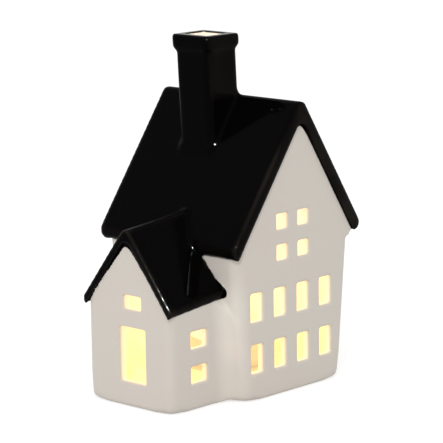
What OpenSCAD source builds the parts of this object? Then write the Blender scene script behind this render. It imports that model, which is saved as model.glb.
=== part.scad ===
// Ceramic village house with cut-out windows, lit from inside by a battery light unit.
// Millimetres, +Z up. The main block runs along X and the wing comes forward towards -Y.
// The foot ring stands on Z = 0, and the origin is under the middle of the bounding box.

/* [Main block] */
// Height of the house to the top of the chimney
house_h = 165.5; // [150:0.5:180]
// Length of the main block from gable to gable
main_l = 84.6; // [76:0.2:94]
// Depth of the main block at its foot
main_d = 67.2; // [62:0.2:72]
// How far the front wall leans out at the lean height
front_lean = 5.5; // [2:0.1:6]
// How far the back wall leans out at the lean height
back_lean = 6.5; // [2:0.1:7]
// Height at which both leans are measured
lean_h = 67.5; // [60:0.5:75]
// Thickness of the ceramic walls
wall_t = 4.2; // [3.4:0.1:5]
// Thickness of the floor
floor_t = 4; // [3.2:0.1:5]
// Depth of the hollow under the floor, inside the foot ring
foot_recess = 2.6; // [2.2:0.1:3.4]
// Width of the foot from the outside of the wall to the hollow
foot_w = 8.5; // [7:0.1:10]
// Rounding of the wing's and the back's upright corners
corner_r = 4.5; // [4.3:0.1:7]
// Rounding of the upright corners at both ends of the main front
front_corner_r = 6.4; // [4.3:0.1:7]
// Rounding of the bottom edge
foot_r = 1.8; // [1:0.1:3]

/* [Main roof] */
// Height at which the two slopes would meet, before the ridge is rounded
ridge_z = 138.2; // [130:0.2:142]
// Distance of the ridge behind the front foot line
ridge_y = 38.8; // [34:0.1:42]
// Pitch of the front slope in degrees
front_pitch = 54.1; // [52:0.1:56]
// Pitch of the back slope in degrees
back_pitch = 57.4; // [55:0.1:59]
// How far the middle of the front eave's rounding lies before the foot line
front_eave_out = 2.9; // [2.4:0.1:4]
// How far the middle of the back eave's rounding lies behind the foot line
back_eave_out = 8.7; // [8:0.1:10]
// Thickness of the main roof, square to its slope
roof_t = 5.4; // [4.8:0.1:6]
// Radius of the heavy rounded front eave
front_nose_r = 4.8; // [3.4:0.1:5.2]
// Radius of the rounded back eave
back_nose_r = 3.4; // [2.8:0.1:3.6]
// Rounding of the ridge
ridge_r = 2.8; // [1:0.1:4]
// Rounding of the peak of the white gable
peak_r = 3.5; // [1:0.1:5]
// How far the main roof stands out past the gables
verge = 1.6; // [0.6:0.1:3]
// Drop of the white cove below the back eave
cove_h = 2.4; // [1:0.1:5]

/* [Wing] */
// Width of the wing
wing_w = 54.2; // [48:0.2:58]
// How far the wing comes forward of the main block's foot
wing_out = 38.1; // [32:0.1:44]
// Middle of the wing, to the right of the middle of the main block
wing_x = 4.4; // [-6:0.1:6]
// Height at which the wing's slopes would meet, before the ridge is rounded
wing_ridge_z = 84.2; // [80:0.2:86]
// Pitch of the wing's slopes in degrees
wing_pitch = 52; // [50:0.1:54]
// How far the middle of the wing eave's rounding lies inside the wall
wing_nose_in = 1.8; // [1.2:0.1:2]
// Thickness of the wing's roof, square to its slope
wing_roof_t = 3; // [2.8:0.1:3.6]
// Radius of the wing's rounded eaves
wing_nose_r = 2.6; // [2.2:0.1:2.8]
// How far the wing's roof stands out past its gable
wing_verge = 1; // [0.6:0.1:3]
// Rounding of the wing's ridge
wing_ridge_r = 3; // [1:0.1:4]
// Rounding of the peak of the wing's gable
wing_peak_r = 4; // [1:0.1:5]
// Rise of the wing's roof towards the main block, in degrees
wing_tilt = 6; // [0:0.5:8]
// Rounding of the inner corner between wing and main block
inner_r = 8.4; // [3:0.1:8.6]
// Rounding where the wing's roof runs into the main block's front wall
valley_r = 1.2; // [0.8:0.1:4]

/* [Chimney] */
// Size of the chimney's cap along X
cap_l = 23.7; // [20:0.1:25]
// Size of the chimney's cap along Y
cap_d = 22.1; // [19:0.1:23]
// Size of the chimney's shaft along X
shaft_l = 21; // [18:0.1:22]
// Size of the chimney's shaft along Y
shaft_d = 19.6; // [17:0.1:20]
// Height of the cap's straight band
cap_h = 5.4; // [4:0.1:9]
// Height over which the cap draws in to the shaft
cap_taper_h = 2.2; // [1:0.1:5]
// Wall thickness of the chimney
flue_t = 4.6; // [4.2:0.1:5.4]
// Rounding of the chimney's upright corners
chimney_r = 2.4; // [1:0.1:3]
// Middle of the chimney's top, left of the middle of the main block
chimney_left = 6.6; // [0:0.1:12]
// Middle of the chimney's top, behind the front foot line
chimney_y = 27.4; // [24:0.1:29]
// Lean of the chimney to the left, in degrees
chimney_lean_x = 1; // [0:0.5:3]
// Lean of the chimney to the front, in degrees
chimney_lean_y = 2; // [0:0.5:4]
// How far the chimney's foot spreads down the roof
skirt_w = 4.6; // [1:0.1:6]
// How far the chimney's foot spreads to the sides
skirt_side = 2; // [1:0.1:4]

/* [Windows and door] */
// Width of a tall gable window
tall_w = 8.4; // [7:0.1:10]
// Height of a tall gable window
tall_h = 13.7; // [10:0.1:16]
// Distance of the first tall window from the front corner
tall_first = 4; // [3:0.1:5]
// Distance from one tall window to the next
tall_pitch = 15.9; // [14:0.1:16]
// Height of the lower row's sills
tall_z = 13; // [12:0.1:16]
// Distance from the lower row to the upper row
tall_rise = 24.3; // [20:0.1:26]
// Width of a small window
small_w = 8; // [6:0.1:9]
// Height of a small window
small_h = 7.5; // [6:0.1:9]
// Distance of the first small window from the front corner
small_first = 22; // [18:0.1:24]
// Distance from one small window to the next
small_pitch = 14.6; // [12:0.1:16]
// Height of the small windows' lower sills
small_z = 63.6; // [60:0.1:68]
// Width of the doorway
door_w = 16.6; // [16:0.1:20]
// Height of the doorway
door_h = 26; // [22:0.1:30]
// Height of the doorway's sill
door_z = 11.7; // [10:0.1:13]
// Middle of the doorway and the window above it, right of the wing's middle
door_x = 2.7; // [-4:0.1:6]
// Width of the window above the door
over_w = 11.4; // [8:0.1:13]
// Height of the window above the door
over_h = 6.6; // [5:0.1:9]
// Height of the sill of the window above the door
over_z = 45.9; // [42:0.1:48]
// Width of the wing's side windows
side_w = 10.9; // [8:0.1:12]
// Height of the wing's side windows
side_h = 8.2; // [6:0.1:10]
// Distance of the side windows from the wing's front
side_first = 13.3; // [10:0.1:16]
// Height of the lower side window's sill
side_z = 12.4; // [10:0.1:14]
// Distance from the lower side window to the upper one
side_rise = 16.2; // [14:0.1:19]

/* [Light unit] */
// Radius of the round hole in the floor
hole_r = 20; // [19:0.1:22]
// Radius of the rubber ring's lip above the floor
lip_r = 21.2; // [20.6:0.1:23]
// Outside radius of the plastic housing
unit_r = 18.2; // [18:0.1:18.6]
// Radius of the housing's flange under the floor
flange_r = 22.6; // [22:0.1:24]
// Thickness of the flange
flange_t = 1.6; // [1.5:0.1:1.9]
// Wall thickness of the plastic
shell_t = 1.4; // [1.2:0.1:1.5]
// Radius of a button cell
cell_r = 5.8; // [5.4:0.1:5.9]
// Length of a button cell
cell_l = 5.4; // [5:0.1:5.5]
// Radius of a button cell's small end
cell_cap_r = 4.8; // [4:0.1:5]
// Thickness of the circuit board
board_t = 1; // [0.8:0.1:1.6]
// Radius of the circuit board
board_r = 15; // [14.8:0.1:15.2]
// Radius of the lamp's body
lamp_r = 2.5; // [2:0.1:2.6]
// Height of the lamp
lamp_h = 8.6; // [7:0.1:9]
// Travel of the switch's knob
switch_travel = 2; // [1.5:0.1:2.5]
// Radius of the screws' shafts
screw_r = 1; // [0.8:0.05:1.1]

/* [Hidden] */
$fn = 64;
hull_fn = 32;
arc_steps = 8;
cut = 1;
slice = 0.02;
skirt_in = 0.6;
skirt_rise = 2.6;
white_glaze = "#d6d1ca";
black_glaze = "#141213";

// Places that follow from the sizes of the main block
half_l = main_l / 2;
roof_half_l = half_l + verge;
ridge = [ridge_y, ridge_z];
front_run = ridge_y + front_eave_out;
back_run = main_d + back_eave_out - ridge_y;
floor_z = foot_recess + floor_t;
wing_front = -wing_out;
wing_half = wing_w / 2;
wing_in = 2 * wall_t;
wing_run = wing_half - wing_nose_in;
wing_ridge = [0, wing_ridge_z];
wing_nose = nose_centre(wing_ridge, wing_pitch, -wing_run, wing_nose_r);
front_nose = nose_centre(ridge, front_pitch, -front_run, front_nose_r);
back_nose = nose_centre(ridge, back_pitch, back_run, back_nose_r);

// The whole house is moved so that its bounding box has its middle over the origin
y_low = wing_front - wing_verge;
y_high = back_nose[0] + back_nose_r;
y_shift = -(y_low + y_high) / 2;

// Middle of the chimney where it meets the roof
skirt_drop = house_h - ridge_z + (ridge_y - chimney_y) * tan(front_pitch);
skirt_left = chimney_left - skirt_drop * tan(chimney_lean_x);
skirt_y = chimney_y + skirt_drop * tan(chimney_lean_y);

// Heights inside the light unit, from the floor's underside
light_y = main_d / 2;
unit_z = foot_recess - flange_t;
plate_z = unit_z + shell_t;
play = 0.3;
screw_play = 0.05;
ring_play = 0.05;
lip_t = 1;
cover_t = shell_t - play;
cell_play = 0.3;
cell_count = 3;
cell_step = 0.5;
contact_t = 0.3;
spring_gap = 1.6;
bay_wall = 1.2;
bay_roof_t = 1;
bay_y = 4.2;
bay_l = cell_count * cell_l + 2 * contact_t + spring_gap;
bay_w = 2 * (cell_r + cell_play);
cell_lift = 0.1;
cell_z = plate_z + cell_r + cell_lift;
bay_top = cell_z + cell_r + cell_play;
board_gap = 0.6;
board_z = bay_top + bay_roof_t + board_gap;
board_top = board_z + board_t;
lamp_stand = 0.8;
lamp_z = board_top + lamp_stand;
lamp_rim = 0.4;
lamp_flange_r = lamp_r + lamp_rim;
lamp_flange_t = 1;
lamp_hole_play = 0.2;
cap_gap = 2.4;
cap_z = board_top + cap_gap;
skirt_h = 1.6;
skirt_t = 1.2;
skirt_play = 0.1;
boss_r = 2.1;
boss_x = 9.8;
boss_y = -8.8;
cover_boss_r = 2.4;
cover_boss_gap = 1.9;
cover_boss_x = bay_l / 2 + bay_wall + cover_boss_gap;
cover_boss_h = 6;
screw_head_r = 1.9;
screw_head_t = 0.6;
screw_head_play = 0.2;
cross_w = 0.5;
cross_l = 2.6;
cross_depth = 0.35;
tongue_r = 2.9;
rib_t = 0.8;
rib_h = 1.2;
board_screw_l = 4.6;
board_head_t = 1.2;
lead_r = 0.25;
lead_gap = 1.27;
lead_below = 0.4;
tab_w = 1.6;
tab_slot_play = 0.2;
contact_w = 8;
contact_drop = 4;
tab_over = 0.5;
switch_l = 8.6;
switch_w = 3.8;
switch_h = 3.6;
switch_y = -8.2;
knob_l = 1.8;
knob_w = 1.4;
slider_l = 3.4;
slider_w = 2.2;
slider_h = 0.9;
slider_lift = 0.9;
slider_z = plate_z + slider_lift;
knob_in = 0.15;
dish_l = 9;
dish_w = 5;
dish_depth = 0.5;
pin_w = 0.6;
pin_t = 0.4;
pin_h = 2;
pin_pitch = 2.5;
wire_r = 0.6;
resistor_r = 0.8;
resistor_l = 3.6;
resistor_x = 4.6;
resistor_y = -8;

// Outlines

function arc(c, r, from, to) =
    [for (i = [0:arc_steps]) let (a = from + (to - from) * i / arc_steps) c + r * [cos(a), sin(a)]];

// Middle of the rounded eave on a slope that runs down from the ridge, to the left for a negative run
function nose_centre(peak, pitch, run, r) =
    [peak[0] + run, peak[1] - abs(run) * tan(pitch) - r / cos(pitch)];

// Direction straight down between two slopes
function between(left_pitch, right_pitch) =
    let (a = 270 + (left_pitch - right_pitch) / 2) [cos(a), sin(a)];

function half_angle(left_pitch, right_pitch) = (180 - left_pitch - right_pitch) / 2;

// A folded roof slab seen from its end: rounded ridge, rounded eaves and a rounded peak beneath
function roof_outline(peak, left_pitch, right_pitch, left_run, right_run, t, left_r, right_r, top_r, under_r) =
    let (
        down = between(left_pitch, right_pitch),
        s = sin(half_angle(left_pitch, right_pitch)),
        left = nose_centre(peak, left_pitch, -left_run, left_r),
        right = nose_centre(peak, right_pitch, right_run, right_r),
        left_turn = acos(min(1, (t - left_r) / left_r)),
        right_turn = acos(min(1, (t - right_r) / right_r))
    )
    concat(
        arc(peak + down * top_r / s, top_r, 90 - right_pitch, 90 + left_pitch),
        arc(left, left_r, 90 + left_pitch, 270 + left_pitch - left_turn),
        arc(peak + down * (t + under_r) / s, under_r, 90 + left_pitch, 90 - right_pitch),
        arc(right, right_r, right_turn - 90 - right_pitch, 90 - right_pitch)
    );

// Everything above the middle of the slab, out to a wide reach that may fall away on both sides
function above_outline(peak, pitch, run, t, eave_r, reach, fall) =
    let (
        s = sin(half_angle(pitch, pitch)),
        left = nose_centre(peak, pitch, -run, eave_r),
        right = nose_centre(peak, pitch, run, eave_r)
    )
    [[left[0] - reach, left[1] - fall], left, peak + between(pitch, pitch) * t / 2 / s, right,
        [right[0] + reach, right[1] - fall], [right[0] + reach, peak[1] + reach],
        [left[0] - reach, peak[1] + reach]];

// Everything below the middle of the slab, out to a wide reach on both sides
function below_outline(peak, left_pitch, right_pitch, left_run, right_run, t, left_r, right_r, reach) =
    let (
        s = sin(half_angle(left_pitch, right_pitch)),
        left = nose_centre(peak, left_pitch, -left_run, left_r),
        right = nose_centre(peak, right_pitch, right_run, right_r)
    )
    [[left[0] - reach, -cut], [right[0] + reach, -cut], [right[0] + reach, right[1]], right,
        peak + between(left_pitch, right_pitch) * t / 2 / s, left, [left[0] - reach, left[1]]];

main_outline = roof_outline(ridge, front_pitch, back_pitch, front_run, back_run,
    roof_t, front_nose_r, back_nose_r, ridge_r, peak_r);
main_below_outline = below_outline(ridge, front_pitch, back_pitch, front_run, back_run,
    roof_t, front_nose_r, back_nose_r, wing_out);
wing_outline = roof_outline(wing_ridge, wing_pitch, wing_pitch, wing_run, wing_run,
    wing_roof_t, wing_nose_r, wing_nose_r, wing_ridge_r, wing_peak_r);
wing_above_outline = above_outline(wing_ridge, wing_pitch, wing_run, wing_roof_t, wing_nose_r, wing_half, 0);
wing_slope_outline = above_outline(wing_ridge, wing_pitch, wing_run, wing_roof_t, wing_nose_r, wing_half,
    wing_half * tan(wing_pitch));

// The main block from its end: leaning walls on a rounded foot
function front_y(z) = -front_lean * z / lean_h;
function back_y(z) = main_d + back_lean * z / lean_h;

front_angle = atan(front_lean / lean_h);
back_angle = atan(back_lean / lean_h);
block_outline = concat(
    arc([foot_r * (1 - sin(front_angle)) / cos(front_angle), foot_r], foot_r, 180 + front_angle, 270),
    arc([main_d - foot_r * (1 - sin(back_angle)) / cos(back_angle), foot_r], foot_r, 270, 360 - back_angle),
    [[back_y(ridge_z), ridge_z], [front_y(ridge_z), ridge_z]]);
room_outline = [[front_y(floor_z) + wall_t, floor_z], [back_y(floor_z) - wall_t, floor_z],
    [back_y(ridge_z) - wall_t, ridge_z], [front_y(ridge_z) + wall_t, ridge_z]];

// The wing from its front: upright walls on a rounded foot
wing_block_outline = concat(
    arc([foot_r - wing_half, foot_r], foot_r, 180, 270),
    arc([wing_half - foot_r, foot_r], foot_r, 270, 360),
    [[wing_half, wing_ridge_z], [-wing_half, wing_ridge_z]]);

// The rounded inner corner, seen from above
inner_outline = concat([[-wall_t / 2, wall_t / 2], [-wall_t / 2, -inner_r]],
    arc([inner_r, -inner_r], inner_r, 180, 90), [[inner_r, wall_t / 2]]);

// Shared shapes

module place() translate([0, y_shift, 0]) children();

// A prism along X from an outline in Y and Z
module along_x(from, to, outline)
    translate([from, 0, 0]) rotate([90, 0, 90]) linear_extrude(to - from) polygon(outline);

// A prism towards the wing's front from an outline in X and Z, raised at its back by the wing's tilt
module along_wing(outline, reach)
    intersection() {
        translate([wing_x, wing_front, wing_nose[1]])
            rotate([wing_tilt, 0, 0])
                translate([0, 0, -wing_nose[1]])
                    rotate([90, 0, 0])
                        translate([0, 0, -wing_out - reach])
                            linear_extrude(wing_out + reach + wing_half) polygon(outline);
        translate([wing_x - wing_w, wing_front - wing_verge, -wing_w])
            cube([2 * wing_w, wing_out + reach, 2 * house_h]);
    }

// A hollow quarter that rounds a sharp edge when it is cut away; the signs point into the body
function edge_outline(r, sign_x, sign_y) =
    [for (p = concat([[-cut, -cut], [r, -cut]], arc([r, r], r, 270, 180), [[-cut, r]]))
        [sign_x * p[0], sign_y * p[1]]];

module main_slab() along_x(-roof_half_l, roof_half_l, main_outline);

module wing_slab() along_wing(wing_outline, wing_half);

// The main block with sharp corners, up to the underside of its roof
module main_prism()
    translate([-half_l, 0, 0]) rotate([90, 0, 90]) linear_extrude(main_l) difference() {
        intersection() {
            polygon(block_outline);
            polygon(main_below_outline);
        }
        polygon(main_outline);
    }

module main_solid()
    difference() {
        main_prism();
        for (side = [-1, 1]) translate([side * half_l, 0, 0]) {
            rotate([front_angle, 0, 0]) translate([0, 0, -foot_r])
                linear_extrude(house_h) polygon(edge_outline(front_corner_r, -side, 1));
            translate([0, main_d, 0]) rotate([-back_angle, 0, 0]) translate([0, 0, -foot_r])
                linear_extrude(house_h) polygon(edge_outline(corner_r, -side, -1));
            translate([0, main_d + cut, 0]) rotate([90, 0, 0])
                linear_extrude(main_d + 2 * cut) polygon(edge_outline(foot_r, -side, 1));
        }
    }

// The main room, open at the top so that it ends at the roof
module main_room() along_x(-half_l + wall_t, half_l - wall_t, room_outline);

// Everything above the middle of the wing's roof
module above_wing() along_wing(wing_above_outline, wing_half);

module wing_solid()
    difference() {
        translate([wing_x, wing_in, 0]) rotate([90, 0, 0])
            linear_extrude(wing_in - wing_front) polygon(wing_block_outline);
        for (side = [-1, 1]) translate([wing_x + side * wing_half, wing_front, -cut])
            linear_extrude(house_h) polygon(edge_outline(corner_r, -side, 1));
        translate([wing_x - wing_half - cut, wing_front, 0]) rotate([90, 0, 90])
            linear_extrude(wing_w + 2 * cut) polygon(edge_outline(foot_r, 1, 1));
        above_wing();
        wing_slab();
        main_slab();
    }

// The wing's room, up to the underside of the wing's roof
module wing_room()
    difference() {
        translate([wing_x - wing_half + wall_t, wing_front + wall_t, floor_z])
            cube([wing_w - 2 * wall_t, wing_in + wall_t - wing_front, wing_ridge_z]);
        above_wing();
        wing_slab();
    }

// White cove that carries the back wall out to the eave
module back_cove() {
    turn = acos(min(1, (roof_t - back_nose_r) / back_nose_r));
    tip = back_nose + back_nose_r * [cos(turn - 90 - back_pitch), sin(turn - 90 - back_pitch)];
    low = tip[1] - cove_h;
    wall_y = main_d + back_lean * low / lean_h;
    up = wall_t / 2;
    along_x(-half_l, half_l, concat(
        [for (i = [0:arc_steps]) let (a = 90 * i / arc_steps)
            [wall_y + (tip[0] - wall_y) * (1 - cos(a)), low + cove_h * sin(a)]],
        [[wall_y - up, tip[1] + (tip[0] - wall_y + up) * tan(back_pitch)], [wall_y - up, low]]));
}

// Rounded inner corners between the wing and the leaning front wall
module inner_corners()
    difference() {
        for (side = [-1, 1]) translate([wing_x + side * wing_half, 0, 0])
            rotate([front_angle, 0, 0]) translate([0, 0, foot_r / 2])
                linear_extrude(wing_nose[1] + wing_out * tan(wing_tilt)) polygon(
                    [for (p = inner_outline) [side * p[0], p[1]]]);
        along_wing(wing_slope_outline, wing_half);
        wing_slab();
        wing_valleys();
    }

// Where the wing's right slope meets the front wall: both surfaces' normals and the line between them
slope_normal = [sin(wing_pitch), -cos(wing_pitch) * sin(wing_tilt), cos(wing_pitch) * cos(wing_tilt)];
wall_normal = [0, -cos(front_angle), -sin(front_angle)];
valley = cross(slope_normal, wall_normal) / norm(cross(slope_normal, wall_normal));
valley_side = cross(valley, slope_normal);
ridge_up = wing_ridge_z - wing_nose[1];
lean_share = front_lean / lean_h;
valley_run = (wing_out + ridge_up * sin(wing_tilt) - lean_share * (wing_nose[1] + ridge_up * cos(wing_tilt)))
    / (cos(wing_tilt) + lean_share * sin(wing_tilt));
valley_head = [0, wing_front + valley_run * cos(wing_tilt) - ridge_up * sin(wing_tilt),
    wing_nose[1] + valley_run * sin(wing_tilt) + ridge_up * cos(wing_tilt)];
valley_top = front_nose[1] - valley_r / 5;
valley_start = valley_head + valley * (valley_top - valley_head[2]) / valley[2];

// The rounded runs from both slopes of the wing's roof on to the front wall
module wing_valleys() translate([wing_x, 0, 0]) {
    wing_valley();
    mirror([1, 0, 0]) wing_valley();
}

module wing_valley()
    multmatrix([for (i = [0:2]) [slope_normal[i], valley_side[i], valley[i], valley_start[i]]])
        linear_extrude((valley_top - wing_nose[1] - wing_out * tan(wing_tilt)) / -valley[2])
            polygon(edge_outline(valley_r, 1, 1));

// Openings through the walls

module gable_window(y, z, w, h)
    translate([half_l - wall_t - cut, y, z]) cube([wall_t + 2 * cut, w, h]);

module gable_windows() {
    for (column = [0:3], row = [0:1])
        gable_window(tall_first + column * tall_pitch, tall_z + row * tall_rise, tall_w, tall_h);
    for (column = [0:1], row = [0:1])
        gable_window(small_first + column * small_pitch, small_z + row * small_pitch, small_w, small_h);
}

module front_opening(w, h, z)
    translate([wing_x + door_x - w / 2, wing_front - cut, z]) cube([w, wall_t + 2 * cut, h]);

module side_windows()
    for (row = [0:1])
        translate([wing_x + wing_half - wall_t - cut, wing_front + side_first, side_z + row * side_rise])
            cube([wall_t + 2 * cut, side_w, side_h]);

// The hollow under the floor, inside the foot ring
module foot_hollow() translate([0, 0, -cut]) linear_extrude(foot_recess + cut) {
    translate([-half_l + foot_w, foot_w]) square([main_l - 2 * foot_w, main_d - 2 * foot_w]);
    translate([wing_x - wing_half + foot_w, wing_front + foot_w])
        square([wing_w - 2 * foot_w, wing_out + cut]);
}

// Ceramic pieces

module house_walls() color(white_glaze) place() difference() {
    union() {
        main_solid();
        wing_solid();
        back_cove();
        inner_corners();
    }
    main_room();
    wing_room();
    gable_windows();
    front_opening(door_w, door_h, door_z);
    front_opening(over_w, over_h, over_z);
    side_windows();
    foot_hollow();
    translate([0, light_y, 0]) cylinder(r = hole_r, h = floor_z + cut);
}

module main_roof() color(black_glaze) place() difference() {
    main_slab();
    wing_room();
    flue(chimney_r / 2);
}

module wing_roof() color(black_glaze) place() difference() {
    union() {
        wing_slab();
        wing_valleys();
    }
    main_prism();
    main_slab();
}

// A rounded upright block about the chimney's own axis
module chimney_block(l, d, r, from, to)
    translate([0, 0, from]) linear_extrude(to - from) {
        square([l - 2 * r, d], center = true);
        square([l, d - 2 * r], center = true);
        for (x = [-1, 1], y = [-1, 1])
            translate([x * (l / 2 - r), y * (d / 2 - r)]) circle(r = r);
    }

module chimney_place()
    translate([-chimney_left, chimney_y, house_h])
        rotate([chimney_lean_y, -chimney_lean_x, 0]) children();

// A rounded block's outline laid on the front slope or parallel to it
function skirt_ring(l, front, back, r, lift) =
    [for (p = concat(
        arc([l / 2 - r, front + r], r, -90, 0), arc([l / 2 - r, back - r], r, 0, 90),
        arc([r - l / 2, back - r], r, 90, 180), arc([r - l / 2, front + r], r, 180, 270)))
        [p[0] - skirt_left, p[1] + skirt_y, ridge_z + (p[1] + skirt_y - ridge_y) * tan(front_pitch) + lift]];

// The chimney's spread foot on the front slope
module chimney_skirt() {
    low = skirt_ring(shaft_l + 2 * skirt_side, -shaft_d / 2 - skirt_w, shaft_d / 2, chimney_r, -roof_t / 2);
    high = skirt_ring(shaft_l - skirt_in, skirt_in - shaft_d / 2, shaft_d / 2 - skirt_in, chimney_r,
        skirt_rise);
    n = len(low);
    polyhedron(concat(low, high), concat(
        [[for (i = [0:n - 1]) i]],
        [[for (i = [n - 1:-1:0]) n + i]],
        [for (i = [0:n - 1]) [i, n + i, n + (i + 1) % n]],
        [for (i = [0:n - 1]) [i, n + (i + 1) % n, (i + 1) % n]]));
}

module flue(r)
    chimney_place() chimney_block(cap_l - 2 * flue_t, cap_d - 2 * flue_t, r, -house_h / 2, flue_t);

module chimney() color(black_glaze) place() difference() {
    intersection() {
        union() {
            chimney_skirt();
            chimney_place() chimney_block(shaft_l, shaft_d, chimney_r, -house_h / 2, -cap_h);
            chimney_place() chimney_block(cap_l, cap_d, chimney_r, -cap_h, cap_h);
            chimney_place() hull() {
                chimney_block(cap_l, cap_d, chimney_r, -cap_h - slice, -cap_h, $fn = hull_fn);
                chimney_block(shaft_l, shaft_d, chimney_r, -cap_h - cap_taper_h, slice - cap_h - cap_taper_h,
                    $fn = hull_fn);
            }
        }
        translate([-main_l, 0, ridge_z / 2]) cube([2 * main_l, main_d, house_h - ridge_z / 2]);
    }
    main_slab();
    along_x(-roof_half_l, roof_half_l, main_below_outline);
    flue(chimney_r / 2);
}

// Light unit

module at_light() place() translate([0, light_y, 0]) children();

module bay_box(grow, from, to)
    translate([-bay_l / 2 - grow, bay_y - bay_w / 2 - grow, from])
        cube([bay_l + 2 * grow, bay_w + 2 * grow, to - from]);

// The battery cover's outline: a plate with a rounded tongue for its screw
module cover_outline(grow) {
    translate([-bay_l / 2 - bay_wall - grow, bay_y - bay_w / 2 - bay_wall - grow])
        square([bay_l + 2 * bay_wall + 2 * grow, bay_w + 2 * bay_wall + 2 * grow]);
    translate([0, bay_y - tongue_r - grow]) square([cover_boss_x, 2 * (tongue_r + grow)]);
    translate([cover_boss_x, bay_y]) circle(r = tongue_r + grow);
}

module contact_slots(from, to)
    for (side = [-1, 1])
        translate([side * (bay_l / 2 - contact_t / 2) - contact_t / 2 - tab_slot_play,
            bay_y - tab_w / 2 - tab_slot_play, from])
            cube([contact_t + 2 * tab_slot_play, tab_w + 2 * tab_slot_play, to - from]);

module board_places() for (side = [-1, 1]) translate([side * boss_x, boss_y, 0]) children();

module light_housing() color("#e9e6df") at_light() difference() {
    union() {
        translate([0, 0, unit_z]) cylinder(r = flange_r, h = flange_t);
        difference() {
            translate([0, 0, unit_z]) cylinder(r = unit_r, h = cap_z - unit_z);
            translate([0, 0, plate_z]) cylinder(r = unit_r - shell_t, h = cap_z);
        }
        bay_box(bay_wall, plate_z, bay_top + bay_roof_t);
        translate([cover_boss_x, bay_y, plate_z]) cylinder(r = cover_boss_r, h = cover_boss_h);
        translate([bay_l / 2, bay_y - cover_boss_r / 2, plate_z])
            cube([cover_boss_x - bay_l / 2, cover_boss_r, cover_boss_h]);
        board_places() translate([0, 0, plate_z]) cylinder(r = boss_r, h = board_z - plate_z);
    }
    bay_box(0, unit_z - cut, bay_top);
    translate([0, 0, unit_z - cut]) linear_extrude(shell_t + cut) cover_outline(play);
    translate([cover_boss_x, bay_y, unit_z]) cylinder(r = screw_r + screw_play, h = cover_boss_h);
    board_places() translate([0, 0, board_z - board_screw_l]) cylinder(r = screw_r + screw_play, h = board_screw_l + cut);
    contact_slots(bay_top - cut, board_z);
    translate([-knob_l / 2 - play - switch_travel, switch_y - knob_w / 2 - play, unit_z - cut])
        cube([knob_l + 2 * play + switch_travel, knob_w + 2 * play, shell_t + 2 * cut]);
    translate([-dish_l / 2 - switch_travel / 2, switch_y - dish_w / 2, unit_z - cut])
        cube([dish_l, dish_w, dish_depth + cut]);
}

module grip_ring() color("#ddd8cc") at_light() difference() {
    union() {
        translate([0, 0, foot_recess]) cylinder(r = hole_r - ring_play, h = floor_t);
        translate([0, 0, floor_z]) cylinder(r = lip_r, h = lip_t);
    }
    translate([0, 0, foot_recess - cut]) cylinder(r = unit_r + ring_play, h = floor_t + lip_t + 2 * cut);
}

module light_cap() color("#e9e6df") at_light() difference() {
    union() {
        translate([0, 0, cap_z]) cylinder(r = unit_r, h = shell_t);
        translate([0, 0, cap_z - skirt_h]) difference() {
            cylinder(r = unit_r - shell_t - skirt_play, h = skirt_h);
            translate([0, 0, -cut]) cylinder(r = unit_r - shell_t - skirt_play - skirt_t, h = skirt_h + cut);
        }
    }
    translate([0, 0, cap_z - cut]) cylinder(r = lamp_r + lamp_hole_play, h = shell_t + 2 * cut);
}

module circuit_board() color("#2d6b3f") at_light() difference() {
    translate([0, 0, board_z]) cylinder(r = board_r, h = board_t);
    board_places() translate([0, 0, board_z - cut]) cylinder(r = screw_r + screw_play, h = board_t + 2 * cut);
    contact_slots(board_z - cut, board_top + cut);
    for (side = [-1, 1])
        translate([0, side * lead_gap, board_z - cut]) cylinder(r = lead_r + screw_play, h = board_t + 2 * cut);
    resistor_feet(lead_r + screw_play, board_z - cut, board_top + cut);
}

module board_screws() color("silver") at_light() board_places() difference() {
    union() {
        translate([0, 0, board_top - board_screw_l]) cylinder(r = screw_r, h = board_screw_l);
        translate([0, 0, board_top]) cylinder(r = screw_head_r, h = board_head_t);
    }
    cross_slot(board_top + board_head_t - cross_depth, board_top + board_head_t + cut);
}

module cross_slot(from, to)
    for (turn = [0, 90])
        rotate([0, 0, turn]) translate([-cross_l / 2, -cross_w / 2, from]) cube([cross_l, cross_w, to - from]);

module lamp() color("#fff2c8") at_light() {
    translate([0, 0, lamp_z]) cylinder(r = lamp_flange_r, h = lamp_flange_t);
    translate([0, 0, lamp_z]) cylinder(r = lamp_r, h = lamp_h - lamp_r);
    translate([0, 0, lamp_z + lamp_h - lamp_r]) sphere(r = lamp_r);
}

module lamp_leads() color("silver") at_light()
    for (side = [-1, 1])
        translate([0, side * lead_gap, board_z - lead_below])
            cylinder(r = lead_r, h = lamp_z - board_z + lead_below);

module resistor_feet(r, from, to)
    for (side = [-1, 1])
        translate([resistor_x, resistor_y + side * resistor_l, from])
            cylinder(r = r, h = to - from);

module resistor() color("#d8c49a") at_light()
    translate([resistor_x, resistor_y - resistor_l / 2, board_top + resistor_r])
        rotate([-90, 0, 0]) cylinder(r = resistor_r, h = resistor_l);

module resistor_leads() color("silver") at_light()
    for (side = [-1, 1]) {
        translate([resistor_x, resistor_y + side * resistor_l, board_z])
            cylinder(r = lead_r, h = board_t + resistor_r + lead_r);
        translate([resistor_x, resistor_y + side * resistor_l, board_top + resistor_r])
            rotate([side * 90, 0, 0]) cylinder(r = lead_r, h = resistor_l / 2);
    }

// A contact plate against one end of the bay, with a tab up through the board
module contact_plate(side) {
    x = side > 0 ? bay_l / 2 - contact_t : -bay_l / 2;
    translate([x, bay_y - contact_w / 2, cell_z - contact_drop])
        cube([contact_t, contact_w, bay_top - cell_z + contact_drop]);
    translate([x, bay_y - tab_w / 2, cell_z]) cube([contact_t, tab_w, board_top + tab_over - cell_z]);
}

module positive_contact() color("goldenrod") at_light() contact_plate(1);

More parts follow.
